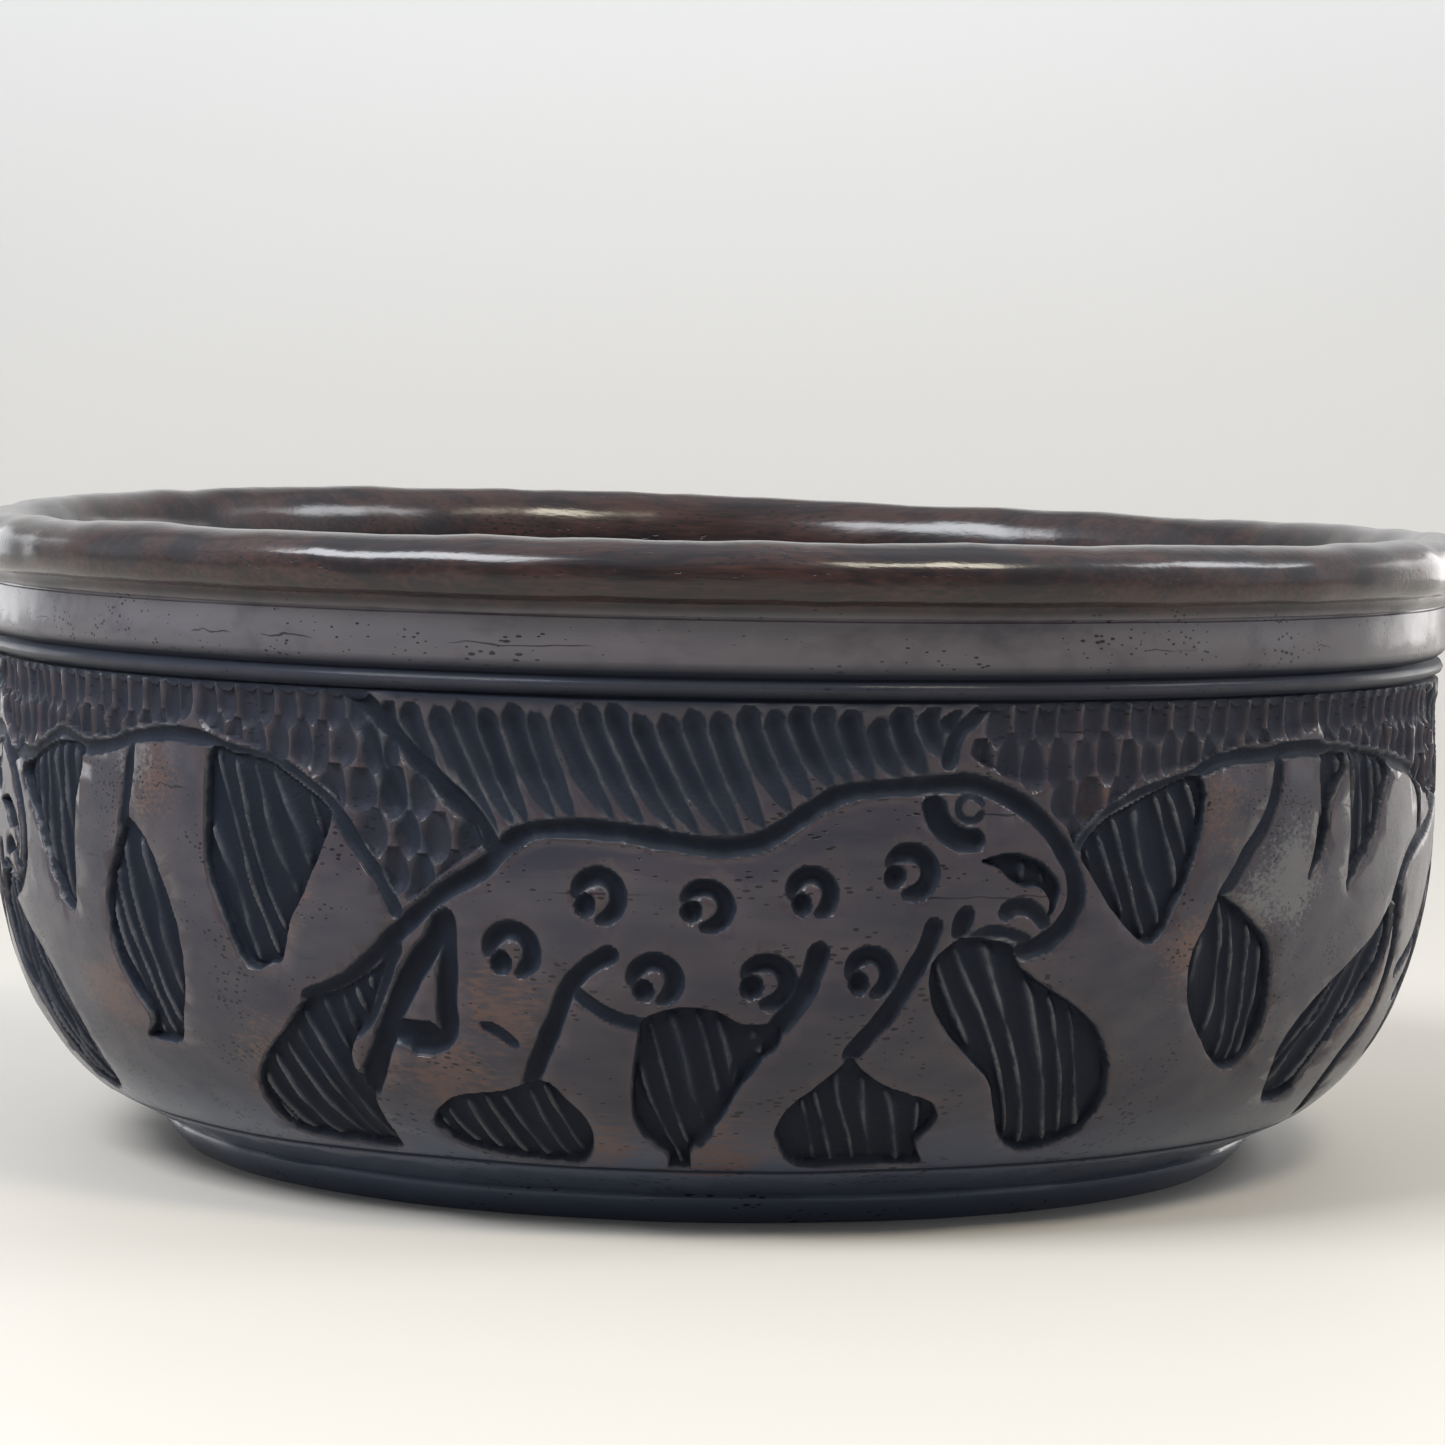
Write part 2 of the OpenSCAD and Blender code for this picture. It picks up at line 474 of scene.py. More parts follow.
def unitMark(tree, start, full, fade, pointed, bend=0.0):
    # one gouge mark, one unit long down the wall, one unit deep and to each side
    line = addNode(tree, "GeometryNodeCurvePrimitiveLine", {0: (0, 0, 0), 1: (0, -1.0, 0)})
    fine = addNode(tree, "GeometryNodeResampleCurve", {0: line.outputs[0], "Count": 17}).outputs[0]
    factor = addNode(tree, "GeometryNodeSplineParameter").outputs["Factor"]
    upright = addNode(tree, "GeometryNodeSetCurveNormal", {0: fine}, mode="Z_UP").outputs[0]
    opening = calc(tree, "SQRT", plus(tree, remap(tree, factor, 0.0, full, start, 1.0), 0.0001))
    closing = calc(tree, "POWER", remap(tree, factor, fade, 1.0, 1.0, 0.001), pointed)
    size = times(tree, opening, closing)
    swept = addNode(tree, "GeometryNodeCurveToMesh",
                    {0: upright, 1: sectionCurve(tree, 1.0), "Scale": size})
    down = parts(tree, addNode(tree, "GeometryNodeInputPosition").outputs[0])[1]
    bow = times(tree, times(tree, down, plus(tree, down, 1.0)),
               times(tree, bend, 4.0))
    return addNode(tree, "GeometryNodeSetPosition",
                   {0: swept.outputs[0], "Offset": xyz(tree, bow)}).outputs[0]


def randomValue(tree, low, high, seed, kind="FLOAT"):
    node = addNode(tree, "FunctionNodeRandomValue", {"Seed": seed}, data_type=kind)
    first = 0 if kind == "FLOAT_VECTOR" else 2
    node.inputs[first].default_value = low
    node.inputs[first + 1].default_value = high
    return node.outputs[0 if kind == "FLOAT_VECTOR" else 1]


def barkBites(tree, given, clear):
    # staggered rows of short bites wherever no animal, grass or trunk is
    pitch, rowPitch = given["Bite Pitch"], given["Row Pitch"]
    grid = addNode(tree, "GeometryNodeMeshGrid", {
        0: times(tree, pitch, biteColumns - 1.0), 1: times(tree, rowPitch, biteRows - 1.0),
        2: biteColumns, 3: biteRows}).outputs[0]
    points = addNode(tree, "GeometryNodeMeshToPoints", {0: grid}).outputs[0]
    place = addNode(tree, "GeometryNodeInputPosition").outputs[0]
    halfRows = times(tree, rowPitch, (biteRows - 1) / 2)
    up = plus(tree, parts(tree, place)[1], halfRows)
    row = calc(tree, "ROUND", calc(tree, "DIVIDE", up, rowPitch))
    odd = times(tree, calc(tree, "MODULO", row, 2.0), times(tree, pitch, 0.5))
    below = calc(tree, "LESS_THAN", row, biteRows - 2.5)
    wider = plus(tree, 1.0, times(tree, below, minus(tree, given["Wider Below"], 1.0)))
    apart = times(tree, parts(tree, place)[0], minus(tree, wider, 1.0))
    lowRow = layout["fieldHeight"] + 0.5 - (biteRows - 1) * barkTools["Row Pitch"]
    lift = plus(tree, halfRows, lowRow)
    jitter = randomValue(tree, (-0.55, -0.9, 0), (0.55, 0.7, 0), given["Seed"], "FLOAT_VECTOR")
    offset = vec(tree, "ADD", xyz(tree, plus(tree, odd, apart), lift), jitter)
    named = store(tree, points, "wider", wider)
    spread = addNode(tree, "GeometryNodeSetPosition", {0: named, "Offset": offset}).outputs[0]
    away = distanceTo(tree, clear, vec(tree, "ADD", place, (0, -2.2, 0)), "FACES")
    inside = calc(tree, "LESS_THAN", away, 0.4)
    kept = addNode(tree, "GeometryNodeDeleteGeometry", {0: spread, 1: inside}, domain="POINT").outputs[0]
    mark = unitMark(tree, 0.45, 0.5, 0.72, 0.45)
    broad = stored(tree, "wider")
    usual = xyz(tree, times(tree, times(tree, given["Bite Width"], 0.5), broad),
                given["Bite Length"], times(tree, given["Bite Depth"], broad))
    unequal = randomValue(tree, (0.9, 0.92, 0.8), (1.12, 1.1, 1.15), 21, "FLOAT_VECTOR")
    turn = xyz(tree, z=randomValue(tree, -0.12, 0.1, 22))
    size = vec(tree, "MULTIPLY", unequal, usual)
    return addNode(tree, "GeometryNodeInstanceOnPoints",
                   {0: kept, "Instance": mark, "Rotation": turn, "Scale": size}).outputs[0]


def longGrass(tree, given, lines, curtain):
    # one slanting cut after another, each down to the next groove
    curve = addNode(tree, "GeometryNodeMeshToCurve", {0: lines}).outputs[0]
    points = addNode(tree, "GeometryNodeCurveToPoints", {0: curve, "Length": given["Blade Pitch"]},
                     mode="LENGTH").outputs[0]
    jitter = randomValue(tree, (-0.45, -1.5, 0), (0.45, 0.7, 0), 31, "FLOAT_VECTOR")
    shifted = addNode(tree, "GeometryNodeSetPosition", {0: points, "Offset": jitter}).outputs[0]
    lean = plus(tree, given["Blade Lean"], randomValue(tree, -0.06, 0.06, 32))
    heading = xyz(tree, calc(tree, "SINE", lean), times(tree, calc(tree, "COSINE", lean), -1.0))
    place = addNode(tree, "GeometryNodeInputPosition").outputs[0]
    ray = addNode(tree, "GeometryNodeRaycast", {
        "Target Geometry": curtain, "Source Position": place, "Ray Direction": heading,
        "Ray Length": 45.0})
    length = plus(tree, ray.outputs["Hit Distance"], 0.9)
    size = xyz(tree, times(tree, given["Blade Width"], 0.5), length,
               times(tree, given["Blade Depth"], randomValue(tree, 0.85, 1.12, 33)))
    longEnough = minus(tree, 1.0, calc(tree, "LESS_THAN", length, 5.0))
    mark = unitMark(tree, 0.0, 0.12, 0.5, 0.72, given["Blade Bend"])
    turn = xyz(tree, z=lean)
    return addNode(tree, "GeometryNodeInstanceOnPoints",
                   {0: shifted, 1: longEnough, "Instance": mark, "Rotation": turn, "Scale": size}).outputs[0]


def coatSpots(tree, given, points):
    # a hooked curl with a round bite in its lower left
    arc = addNode(tree, "GeometryNodeCurveArc", {
        0: 24, "Radius": given["Spot Radius"], "Start Angle": math.radians(190),
        "Sweep Angle": math.radians(-290)}).outputs[0]
    sized = addNode(tree, "GeometryNodeSetCurveRadius",
                    {0: arc, "Radius": times(tree, given["Spot Width"], 0.5)}).outputs[0]
    curl = sweep(tree, sized, 0.85, 5.0, power=3.0)
    ball = addNode(tree, "GeometryNodeMeshUVSphere", {0: 20, 1: 12, 2: 1.0}).outputs[0]
    dot = addNode(tree, "GeometryNodeTransform",
                  {0: ball, "Translation": (-2.3, -1.3, 0), "Scale": (2.1, 2.4, 1.9)}).outputs[0]
    turn = xyz(tree, z=randomValue(tree, -0.35, 0.3, 41))
    size = randomValue(tree, (0.88, 0.88, 0.9), (1.05, 1.05, 1.1), 42, "FLOAT_VECTOR")
    return addNode(tree, "GeometryNodeInstanceOnPoints", {
        0: points, "Instance": joined(tree, curl, dot), "Rotation": turn, "Scale": size}).outputs[0]


def makeCutters(lines, material):
    sockets = dict(tools)
    for label in ("Grooves", "Spots", "Grass"):
        sockets[label] = lines[label]
    tree, given = newTree("cuttingTools", sockets)
    grooveLines = shapeOf(tree, given["Grooves"])
    grooves = sweep(tree, grooveLines, given["Groove Depth"], given["Nose"], 0.12, 3.4,
                    given["Groove Widening"])
    post = addNode(tree, "GeometryNodeCurvePrimitiveLine", {0: (0, -3.0, 0), 1: (0, 3.0, 0)}).outputs[0]
    flat = addNode(tree, "GeometryNodeSetCurveNormal", {0: grooveLines}, mode="Z_UP").outputs[0]
    curtain = addNode(tree, "GeometryNodeCurveToMesh", {0: flat, 1: post, "Scale": 1.0}).outputs[0]
    grass = longGrass(tree, given, shapeOf(tree, given["Grass"]), curtain)
    spots = coatSpots(tree, given, shapeOf(tree, given["Spots"]))
    finishTree(tree, joined(tree, grooves, grass, spots), material)
    return runTree(scratch("toolStart", bpy.data.meshes.new("toolStart")), tree, sockets, "cutters")


def makeBites(lines, material):
    sockets = dict(barkTools, Clear=lines["Clear"])
    tree, given = newTree("barkTools", sockets)
    finishTree(tree, barkBites(tree, given, shapeOf(tree, given["Clear"])), material)
    return runTree(scratch("barkStart", bpy.data.meshes.new("barkStart")), tree, sockets, "bites")


# the bowl's outline from the middle of the underside, up the outside and over the rim to the floor

bowlLow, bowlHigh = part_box("bowl")
turning = {
    "height": (bowlHigh[2] - bowlLow[2]) / mm,
    "rimRadius": (bowlHigh[0] - bowlLow[0]) / 2 / mm,
    "rimOut": 6.5, "rimHeight": 11.0, "rimWidth": 15.0, "rimSquare": 0.6,
    "wallThick": 11.5, "floorTop": 14.0,
    "footRadius": 106.0, "footHeight": 5.0, "footWidth": 18.0, "footHollow": 3.0,
    "wallBase": 12.0, "wallMiddle": 72.0, "wallLow": 6.0, "curve": 45.0, "fullness": 2.3,
    "grooveWidth": 1.6, "grooveDepth": 1.2, "collarHeight": 10.5, "collarOut": 1.6,
}


def belly(z, widest, lowZ):
    t = turning
    drop = max(0.0, t["wallMiddle"] - z) / (t["wallMiddle"] - lowZ)
    return widest - t["curve"] + t["curve"] * (1 - drop ** t["fullness"]) ** (1 / t["fullness"])


def spaced(points, step):
    # the same line with evenly spaced points
    lengths = [0.0]
    for a, b in zip(points, points[1:]):
        lengths.append(lengths[-1] + math.dist(a, b))
    count = max(1, round(lengths[-1] / step))
    result = []
    k = 0
    for i in range(count + 1):
        target = lengths[-1] * i / count
        while k < len(points) - 2 and lengths[k + 1] < target:
            k += 1
        span = lengths[k + 1] - lengths[k]
        f = (target - lengths[k]) / span if span else 0.0
        result.append(tuple(p + (q - p) * f for p, q in zip(points[k], points[k + 1])))
    return result


def rimPoint(angle, middle, bottom):
    # full above, square below, and inside one long round down to the wall
    t = turning
    c, s = math.cos(math.radians(angle)), math.sin(math.radians(angle))
    squareness = t["rimSquare"] if s < 0 else 1.0
    across = math.copysign(abs(c) ** squareness, c) * t["rimWidth"] / 2
    if c < 0:
        return middle + across, bottom + t["rimHeight"] * s
    return middle + across, bottom + t["rimHeight"] / 2 * (1 + math.copysign(abs(s) ** squareness, s))


def bowlOutline(step):
    t = turning
    wall = t["rimRadius"] - t["rimOut"]
    collar = wall + t["collarOut"]
    rimBottom = t["height"] - t["rimHeight"]
    collarBottom = rimBottom - t["collarHeight"] - 1.5
    width, depth = t["grooveWidth"], t["grooveDepth"]
    bead = collarBottom - width - 1
    fieldTop = bead - 1 - width
    rimMiddle = t["rimRadius"] - t["rimWidth"] / 2
    foot, footHeight = t["footRadius"], t["footHeight"]
    outside = [(belly(z / 4, wall, t["wallLow"]), z / 4)
               for z in range(round(t["wallBase"] * 4), round(t["wallMiddle"] * 4) + 1)]
    inside = [(belly(z / 4, wall - t["wallThick"], t["floorTop"]), z / 4)
              for z in range(round(t["wallMiddle"] * 4), round(t["floorTop"] * 4) - 1, -1)]
    rim = [rimPoint(angle, rimMiddle, rimBottom) for angle in range(-50, 181, 5)]
    sections = [
        ([(0.0, t["footHollow"]), (foot - t["footWidth"] - 2, t["footHollow"])], 7.0),
        ([(foot - t["footWidth"] - 2, t["footHollow"]), (foot - t["footWidth"], 0.0)], 1.2),
        ([(foot - t["footWidth"], 0.0), (foot, 0.0)], 3.0),
        ([(foot, 0.0), (foot + 3.5, footHeight - 1.5), (foot + 4.2, footHeight),
          (foot + 3.6, footHeight + 0.8)], 0.8),
        ([(foot + 3.6, footHeight + 0.8), outside[0]], 0.7),
        (outside + [(wall, fieldTop)], step),
        ([(wall, fieldTop), (wall - depth, fieldTop + width / 2), (wall + 0.4, fieldTop + width),
          (wall + 0.9, bead), (wall + 0.4, bead + 1), (wall - depth / 2, bead + 1 + width / 2),
          (collar - 1.1, collarBottom), (collar - 0.3, collarBottom + 0.9),
          (collar, collarBottom + 1.9)], 0.3),
        ([(collar, collarBottom + 1.9), (collar - 0.4, rimBottom - 2.7)], 1.2),
        ([(collar - 0.4, rimBottom - 2.7), (collar - 0.9, rimBottom - 2.3), (collar - 0.1, rimBottom - 1.9),
          (collar + 0.2, rimBottom - 0.8), (collar + 0.3, rimBottom + 0.2), rim[0]], 0.4),
        (rim, 0.8),
        ([rim[-1]] + inside, 1.8),
        ([inside[-1], (0.0, t["floorTop"])], 6.0),
    ]
    rows = []
    wallStart = 0
    for number, (points, gap) in enumerate(sections):
        if number == 5:
            wallStart = len(rows) - 1
        rows += spaced(points, gap)[1 if rows else 0:]
    return rows, wallStart


def outlineObject(step):
    rows, wallStart = bowlOutline(step)
    lengths = [0.0]
    for a, b in zip(rows, rows[1:]):
        lengths.append(lengths[-1] + math.dist(a, b))
    outward = []
    for i in range(len(rows)):
        a = rows[max(i - 1, 0)]
        b = rows[min(i + 1, len(rows) - 1)]
        size = math.dist(a, b)
        outward += [(b[1] - a[1]) / size, 0.0, (a[0] - b[0]) / size]
    data = bpy.data.meshes.new("bowlOutline")
    data.from_pydata([(r, 0, z) for r, z in rows], [], [])
    ups = [length - lengths[wallStart] for length in lengths]
    data.attributes.new("up", "FLOAT", "POINT").data.foreach_set("value", ups)
    data.attributes.new("outward", "FLOAT_VECTOR", "POINT").data.foreach_set("vector", outward)
    return scratch("bowlOutline", data), len(rows)


# the bowl itself

carving = {
    "Pocket Depth": 2.0,
    "Pocket Slope": 0.75,      # run of a pocket's side wall
    "Ridge Pitch": 4.3,        # width of the gouge used inside the pockets
    "Ridge Height": 1.5,
    "Ridge Wander": 7.0,
    "Floor Crown": 0.35,       # how much shallower a pocket is away from its edge
    "Edge Wander": 0.5,        # unsteadiness of the pockets' outlines
    "Shoulder Drop": 0.5,      # rounding beside the line of the back
    "Shoulder Width": 4.6,
    "Bite Stain": 0.23,        # how dark the short bites are painted, with stain and painted shade, as the depth of a dark cut
    "Tool Marks": 0.07,
    "Hand Wave": 1.0,          # slow unevenness of the whole surface
    "Rim Wave": 1.5,
    "Rim Lift": 0.3,
    "Back Lift": 2.0,          # more lift at the back of the rim
    "Rim Twist": 2.9,
}
carvingStep = 0.5
frontShare = 0.3              # how much closer together the columns stand at the front than on average
carvedSide = (122.0, 126.0)   # up the wall, where the outside ends and the inside begins
triangleCount = 197000
sharpAbove = 42.0             # degrees between two faces that meet in a hard edge


def sampleRow(tree, shape, value, index, kind):
    return addNode(tree, "GeometryNodeSampleIndex", {0: shape, 1: value, 2: index},
                   data_type=kind, domain="POINT").outputs[0]


def toolDepth(tree, swept, flat):
    ray = addNode(tree, "GeometryNodeRaycast", {
        "Target Geometry": swept, "Source Position": vec(tree, "ADD", flat, (0, 0, -20.0)),
        "Ray Direction": (0, 0, 1.0), "Ray Length": 40.0})
    low = times(tree, parts(tree, ray.outputs["Hit Position"])[2], -1.0)
    return times(tree, larger(tree, low, 0.0), ray.outputs["Is Hit"])


def ridgeHeight(tree, given, across, along):
    # ridges left between gouge cuts, some high and some low
    drift = noise(tree, xyz(tree, times(tree, across, 0.11), times(tree, along, 0.028)), 1.0, 1.0, 0.3)
    wander = times(tree, minus(tree, drift, 0.5), given["Ridge Wander"])
    turns = calc(tree, "DIVIDE", plus(tree, across, wander), given["Ridge Pitch"])
    fromMiddle = calc(tree, "ABSOLUTE", minus(tree, times(tree, calc(tree, "FRACT", turns), 2.0), 1.0))
    crest = calc(tree, "POWER", fromMiddle, 2.8)
    number = calc(tree, "ROUND", turns)
    height = noise(tree, xyz(tree, times(tree, number, 7.3), times(tree, along, 0.075)), 1.0, 1.0)
    height = remap(tree, height, 0.34, 0.62, 0.2, 1.0)
    return times(tree, times(tree, crest, height), given["Ridge Height"])


def pocketDepth(tree, given, pockets, flat):
    # flat-bottomed pockets, their floors ridged where one gouge cut meets the next
    shake = addNode(tree, "ShaderNodeTexNoise", {"Vector": flat, "Scale": 0.33, "Detail": 2.0}).outputs[1]
    shake = vec(tree, "MULTIPLY", vec(tree, "SUBTRACT", shake, (0.5, 0.5, 0.5)),
                xyz(tree, given["Edge Wander"], given["Edge Wander"]))
    shaken = vec(tree, "ADD", flat, shake)
    toFace = distanceTo(tree, pockets, shaken, "FACES")
    toEdge = distanceTo(tree, pockets, shaken, "EDGES")
    lean = addNode(tree, "GeometryNodeSampleNearestSurface",
                   {0: pockets, 1: stored(tree, "lean"), "Sample Position": flat}).outputs[0]
    sine, cosine = calc(tree, "SINE", lean), calc(tree, "COSINE", lean)
    x, y, _ = parts(tree, flat)
    across = plus(tree, times(tree, x, cosine), times(tree, y, sine))
    along = minus(tree, times(tree, x, sine), times(tree, y, cosine))
    ridge = ridgeHeight(tree, given, across, along)
    ridge = times(tree, ridge, remap(tree, toEdge, 0.6, 2.2, 0.2, 1.0, smooth=True))
    crown = remap(tree, toEdge, 0.8, 3.6, 0.0, given["Floor Crown"], smooth=True)
    floor = minus(tree, minus(tree, given["Pocket Depth"], crown), ridge)
    wallRise = remap(tree, toEdge, 0.0, given["Pocket Slope"], smooth=True)
    return times(tree, times(tree, floor, wallRise), calc(tree, "LESS_THAN", toFace, 0.01))


def patchShare(tree, points, flat):
    # 1 at the middle of the nearest patch and 0 at its edge
    nearest = addNode(tree, "GeometryNodeSampleNearest", {0: points, "Sample Position": flat}).outputs[0]
    place = addNode(tree, "GeometryNodeInputPosition").outputs[0]
    middle = sampleRow(tree, points, place, nearest, "FLOAT_VECTOR")
    reach = sampleRow(tree, points, stored(tree, "reach"), nearest, "FLOAT")
    away = addNode(tree, "ShaderNodeVectorMath", {0: middle, 1: flat}, operation="DISTANCE")
    return remap(tree, calc(tree, "DIVIDE", away.outputs["Value"], reach), 0.0, 1.0, 1.0, 0.0)


def alongWall(tree, x, around):
    # the last column is the first again, so that the seam closes, and the front has more columns
    lastColumn = calc(tree, "GREATER_THAN", x, around / 2 - carvingStep / 2)
    x = minus(tree, x, times(tree, lastColumn, around))
    bunching = times(tree, calc(tree, "SINE", calc(tree, "DIVIDE", x, layout["wallRound"])),
                     frontShare * layout["wallRound"])
    return minus(tree, x, bunching)


def cutDepths(tree, given, flat, up):
    # how deep the wood is cut, how darkly it is stained and painted with shade there, and how far it stands
    # proud between cuts
    top = layout["fieldHeight"]
    lineDepth = toolDepth(tree, shapeOf(tree, given["Cutters"]), flat)
    offTrunk = distanceTo(tree, shapeOf(tree, given["Clear"]), flat, "FACES")
    biteDepth = times(tree, toolDepth(tree, shapeOf(tree, given["Bites"]), flat),
                      remap(tree, offTrunk, 0.0, 0.7, smooth=True))
    hollow = pocketDepth(tree, given, shapeOf(tree, given["Pockets"]), flat)
    lowerGroove = remap(tree, calc(tree, "ABSOLUTE", plus(tree, up, 0.3)), 0.0, 0.9, 1.0, 0.0)
    # the depth that gives the cuts their dark colour: their matt stain and painted shade, the short bites
    # less dark
    stainAndShadeDepth = larger(tree, larger(tree, lineDepth, hollow), lowerGroove)
    biteStainAndShade = times(tree, calc(tree, "MINIMUM", biteDepth, 1.0), given["Bite Stain"])
    inField = times(tree, calc(tree, "GREATER_THAN", up, -3.0),
                    remap(tree, up, top - 0.9, top - 0.3, 1.0, 0.0))
    cut = times(tree, larger(tree, stainAndShadeDepth, biteDepth), inField)
    shade = times(tree, larger(tree, stainAndShadeDepth, biteStainAndShade), inField)
    blur = addNode(tree, "GeometryNodeBlurAttribute", {0: cut, "Iterations": 8}).outputs[0]
    return cut, shade, times(tree, minus(tree, blur, cut), inField)


def shoulderDrop(tree, given, flat, cut):
    line = addNode(tree, "GeometryNodeCurveToMesh", {0: shapeOf(tree, given["Soft"])}).outputs[0]
    away = distanceTo(tree, line, flat, "EDGES")
    drop = remap(tree, away, 0.0, given["Shoulder Width"], given["Shoulder Drop"], 0.0, smooth=True)
    return times(tree, drop, calc(tree, "LESS_THAN", cut, 0.05))


def unevenness(tree, given, surface, height, cut, carved):
    # slow waves of the hand, marks left in the cuts, and a wave along the rim
    slow = times(tree, minus(tree, noise(tree, surface, 0.03, 2.0), 0.5), given["Hand Wave"])
    marks = times(tree, minus(tree, noise(tree, surface, 0.4, 1.0), 0.5),
                  times(tree, given["Tool Marks"], calc(tree, "MINIMUM", cut, 1.0)))
    rimWave = times(tree, minus(tree, noise(tree, surface, 0.055, 2.0, 0.4), 0.5), given["Rim Wave"])
    rimWave = times(tree, rimWave, remap(tree, height, 110.0, 116.0, smooth=True))
    return plus(tree, plus(tree, minus(tree, slow, carved), marks), rimWave)


def rimLift(tree, given, height, sine, cosine):
    # the rim isn't level: it is higher at the back and a little twisted there
    back = times(tree, cosine, -1.0)
    behind = larger(tree, back, 0.0)
    twist = times(tree, times(tree, sine, behind), given["Rim Twist"])
    lift = minus(tree, times(tree, back, given["Rim Lift"]), twist)
    lift = plus(tree, lift, times(tree, behind, given["Back Lift"]))
    return times(tree, lift, remap(tree, height, 96.0, 120.0, smooth=True))


def wrapped(tree, vector, sine, cosine):
    r, _, h = parts(tree, vector)
    return xyz(tree, times(tree, r, sine), times(tree, times(tree, r, cosine), -1.0), h)


def makeBowl(lines, cutters, bites, material):
    outline, rows = outlineObject(carvingStep)
    sockets = dict(carving, Outline=outline, Cutters=cutters, Bites=bites)
    for label in ("Pockets", "Clear", "Soft", "Rubs", "Scrapes"):
        sockets[label] = lines[label]
    tree, given = newTree("carvedBowl", sockets)
    around = 2 * math.pi * layout["wallRound"]
    columns = round(around / carvingStep)
    grid = addNode(tree, "GeometryNodeMeshGrid",
                   {0: around, 1: rows - 1.0, 2: columns + 1, 3: rows}).outputs[0]
    place = addNode(tree, "GeometryNodeInputPosition").outputs[0]
    x, y, _ = parts(tree, place)
    x = alongWall(tree, x, around)
    index = calc(tree, "ROUND", plus(tree, y, (rows - 1) / 2))
    shape = shapeOf(tree, given["Outline"])
    up = sampleRow(tree, shape, stored(tree, "up"), index, "FLOAT")
    outward = sampleRow(tree, shape, stored(tree, "outward", "FLOAT_VECTOR"), index, "FLOAT_VECTOR")
    turned = sampleRow(tree, shape, place, index, "FLOAT_VECTOR")
    flat = xyz(tree, x, up)
    cut, shade, proud = cutDepths(tree, given, flat, up)

    turn = calc(tree, "DIVIDE", x, layout["wallRound"])
    sine, cosine = calc(tree, "SINE", turn), calc(tree, "COSINE", turn)
    surface = wrapped(tree, turned, sine, cosine)
    facing = wrapped(tree, outward, sine, cosine)
    height = parts(tree, turned)[2]
    carved = plus(tree, cut, shoulderDrop(tree, given, flat, cut))
    move = unevenness(tree, given, surface, height, cut, carved)
    lift = rimLift(tree, given, height, sine, cosine)
    surface = vec(tree, "ADD", surface, vec(tree, "MULTIPLY", facing, xyz(tree, move, move, move)))
    surface = vec(tree, "ADD", surface, xyz(tree, z=lift))
    inMetres = vec(tree, "MULTIPLY", surface, (mm, mm, mm))

    marked = store(tree, store(tree, grid, "cut", shade), "proud", proud)
    marked = store(tree, marked, "outer", remap(tree, up, *carvedSide, 1.0, 0.0))
    for label in ("Rubs", "Scrapes"):
        marked = store(tree, marked, label.lower(), patchShare(tree, shapeOf(tree, given[label]), flat))
    bowl = addNode(tree, "GeometryNodeSetPosition", {0: marked, "Position": inMetres}).outputs[0]
    closed = addNode(tree, "GeometryNodeMergeByDistance", {0: bowl, "Distance": 0.002 * mm}).outputs[0]
    smooth = addNode(tree, "GeometryNodeSetShadeSmooth", {0: closed}).outputs[0]
    finishTree(tree, smooth, material)
    return runTree(scratch("bowlStart", bpy.data.meshes.new("bowlStart")), tree, sockets, "carvedBowl")


def thinned(fine, name, triangles, crease):
    # fewer triangles where the wood is smooth, and a hard edge where two cuts meet
    present = sum(face.loop_total - 2 for face in fine.data.polygons)
    modifier = fine.modifiers.new("thin", "DECIMATE")
    modifier.ratio = triangles / present
    result = plainMesh(fine, name)
    result.data.set_sharp_from_angle(angle=math.radians(crease))
    return result


# the wood: black-brown stain, waxed and rubbed where a hand reaches, matt in the cuts and darkened there
# with painted shade

wood = {
    "stain": (0.0262, 0.0258, 0.0360, 1.0),
    "stainLight": (0.0435, 0.0380, 0.0470, 1.0),
    # the collar's lighter stain, laid on more toward its top as painted light against the rim's shadow
    "collar": (0.112, 0.103, 0.112, 1.0),
    # painted shade: a bluer tone matched to how the foot looks in the shade under the belly
    "foot": (0.049, 0.060, 0.090, 1.0),
    "rimStain": (0.0075, 0.005, 0.006, 1.0),
    "rimStreak": (0.04, 0.0175, 0.0135, 1.0),
    "rubbed": (0.09, 0.050, 0.039, 1.0),
    "scraped": (0.135, 0.135, 0.137, 1.0),
    # the cuts: matt stain and painted shade, with darker painted shade where a cut is deepest
    "cut": (0.0160, 0.0195, 0.0290, 1.0),
    "cutDeepShade": (0.0088, 0.0112, 0.0180, 1.0),
    # painted highlight on the ridges between cuts, partly worn wood
    "crest": (0.105, 0.104, 0.112, 1.0),
    "pore": (0.006, 0.0055, 0.0065, 1.0),
    "roughness": 0.42,
    "cutRoughness": 0.58,
    "waxShine": 0.16,                  # roughness of the wax
    "wax": (0.45, 0.8),                # least and most wax on the smooth wood
    "ridgeWax": 0.22,
    # how often each pattern repeats per millimetre, least along X
    "grain": (0.09, 1.3, 1.3),
    "warp": (0.02, 0.05, 0.05),
    "bands": (0.3, 0.16, 0.16),        # of the grain's own pattern
    "pores": (0.34, 1.0, 1.0),
    "porous": (0.05, 0.12, 0.12),
    "patches": (0.03, 0.06, 0.06),
    "smudges": (0.03, 0.06, 0.06),
    "cracks": (0.03, 0.1, 0.1),
    "chatter": (1.3, 1.3, 1.3),
    "grooveHeights": (97.6, 101.2),    # of the two turned grooves
    "darkBelow": 12.2,                 # the foot, up to the lower groove
}


def painted(tree, name):
    return addNode(tree, "ShaderNodeAttribute", attribute_name=name).outputs["Fac"]


def stretched(tree, place, amounts):
    return vec(tree, "MULTIPLY", place, amounts)


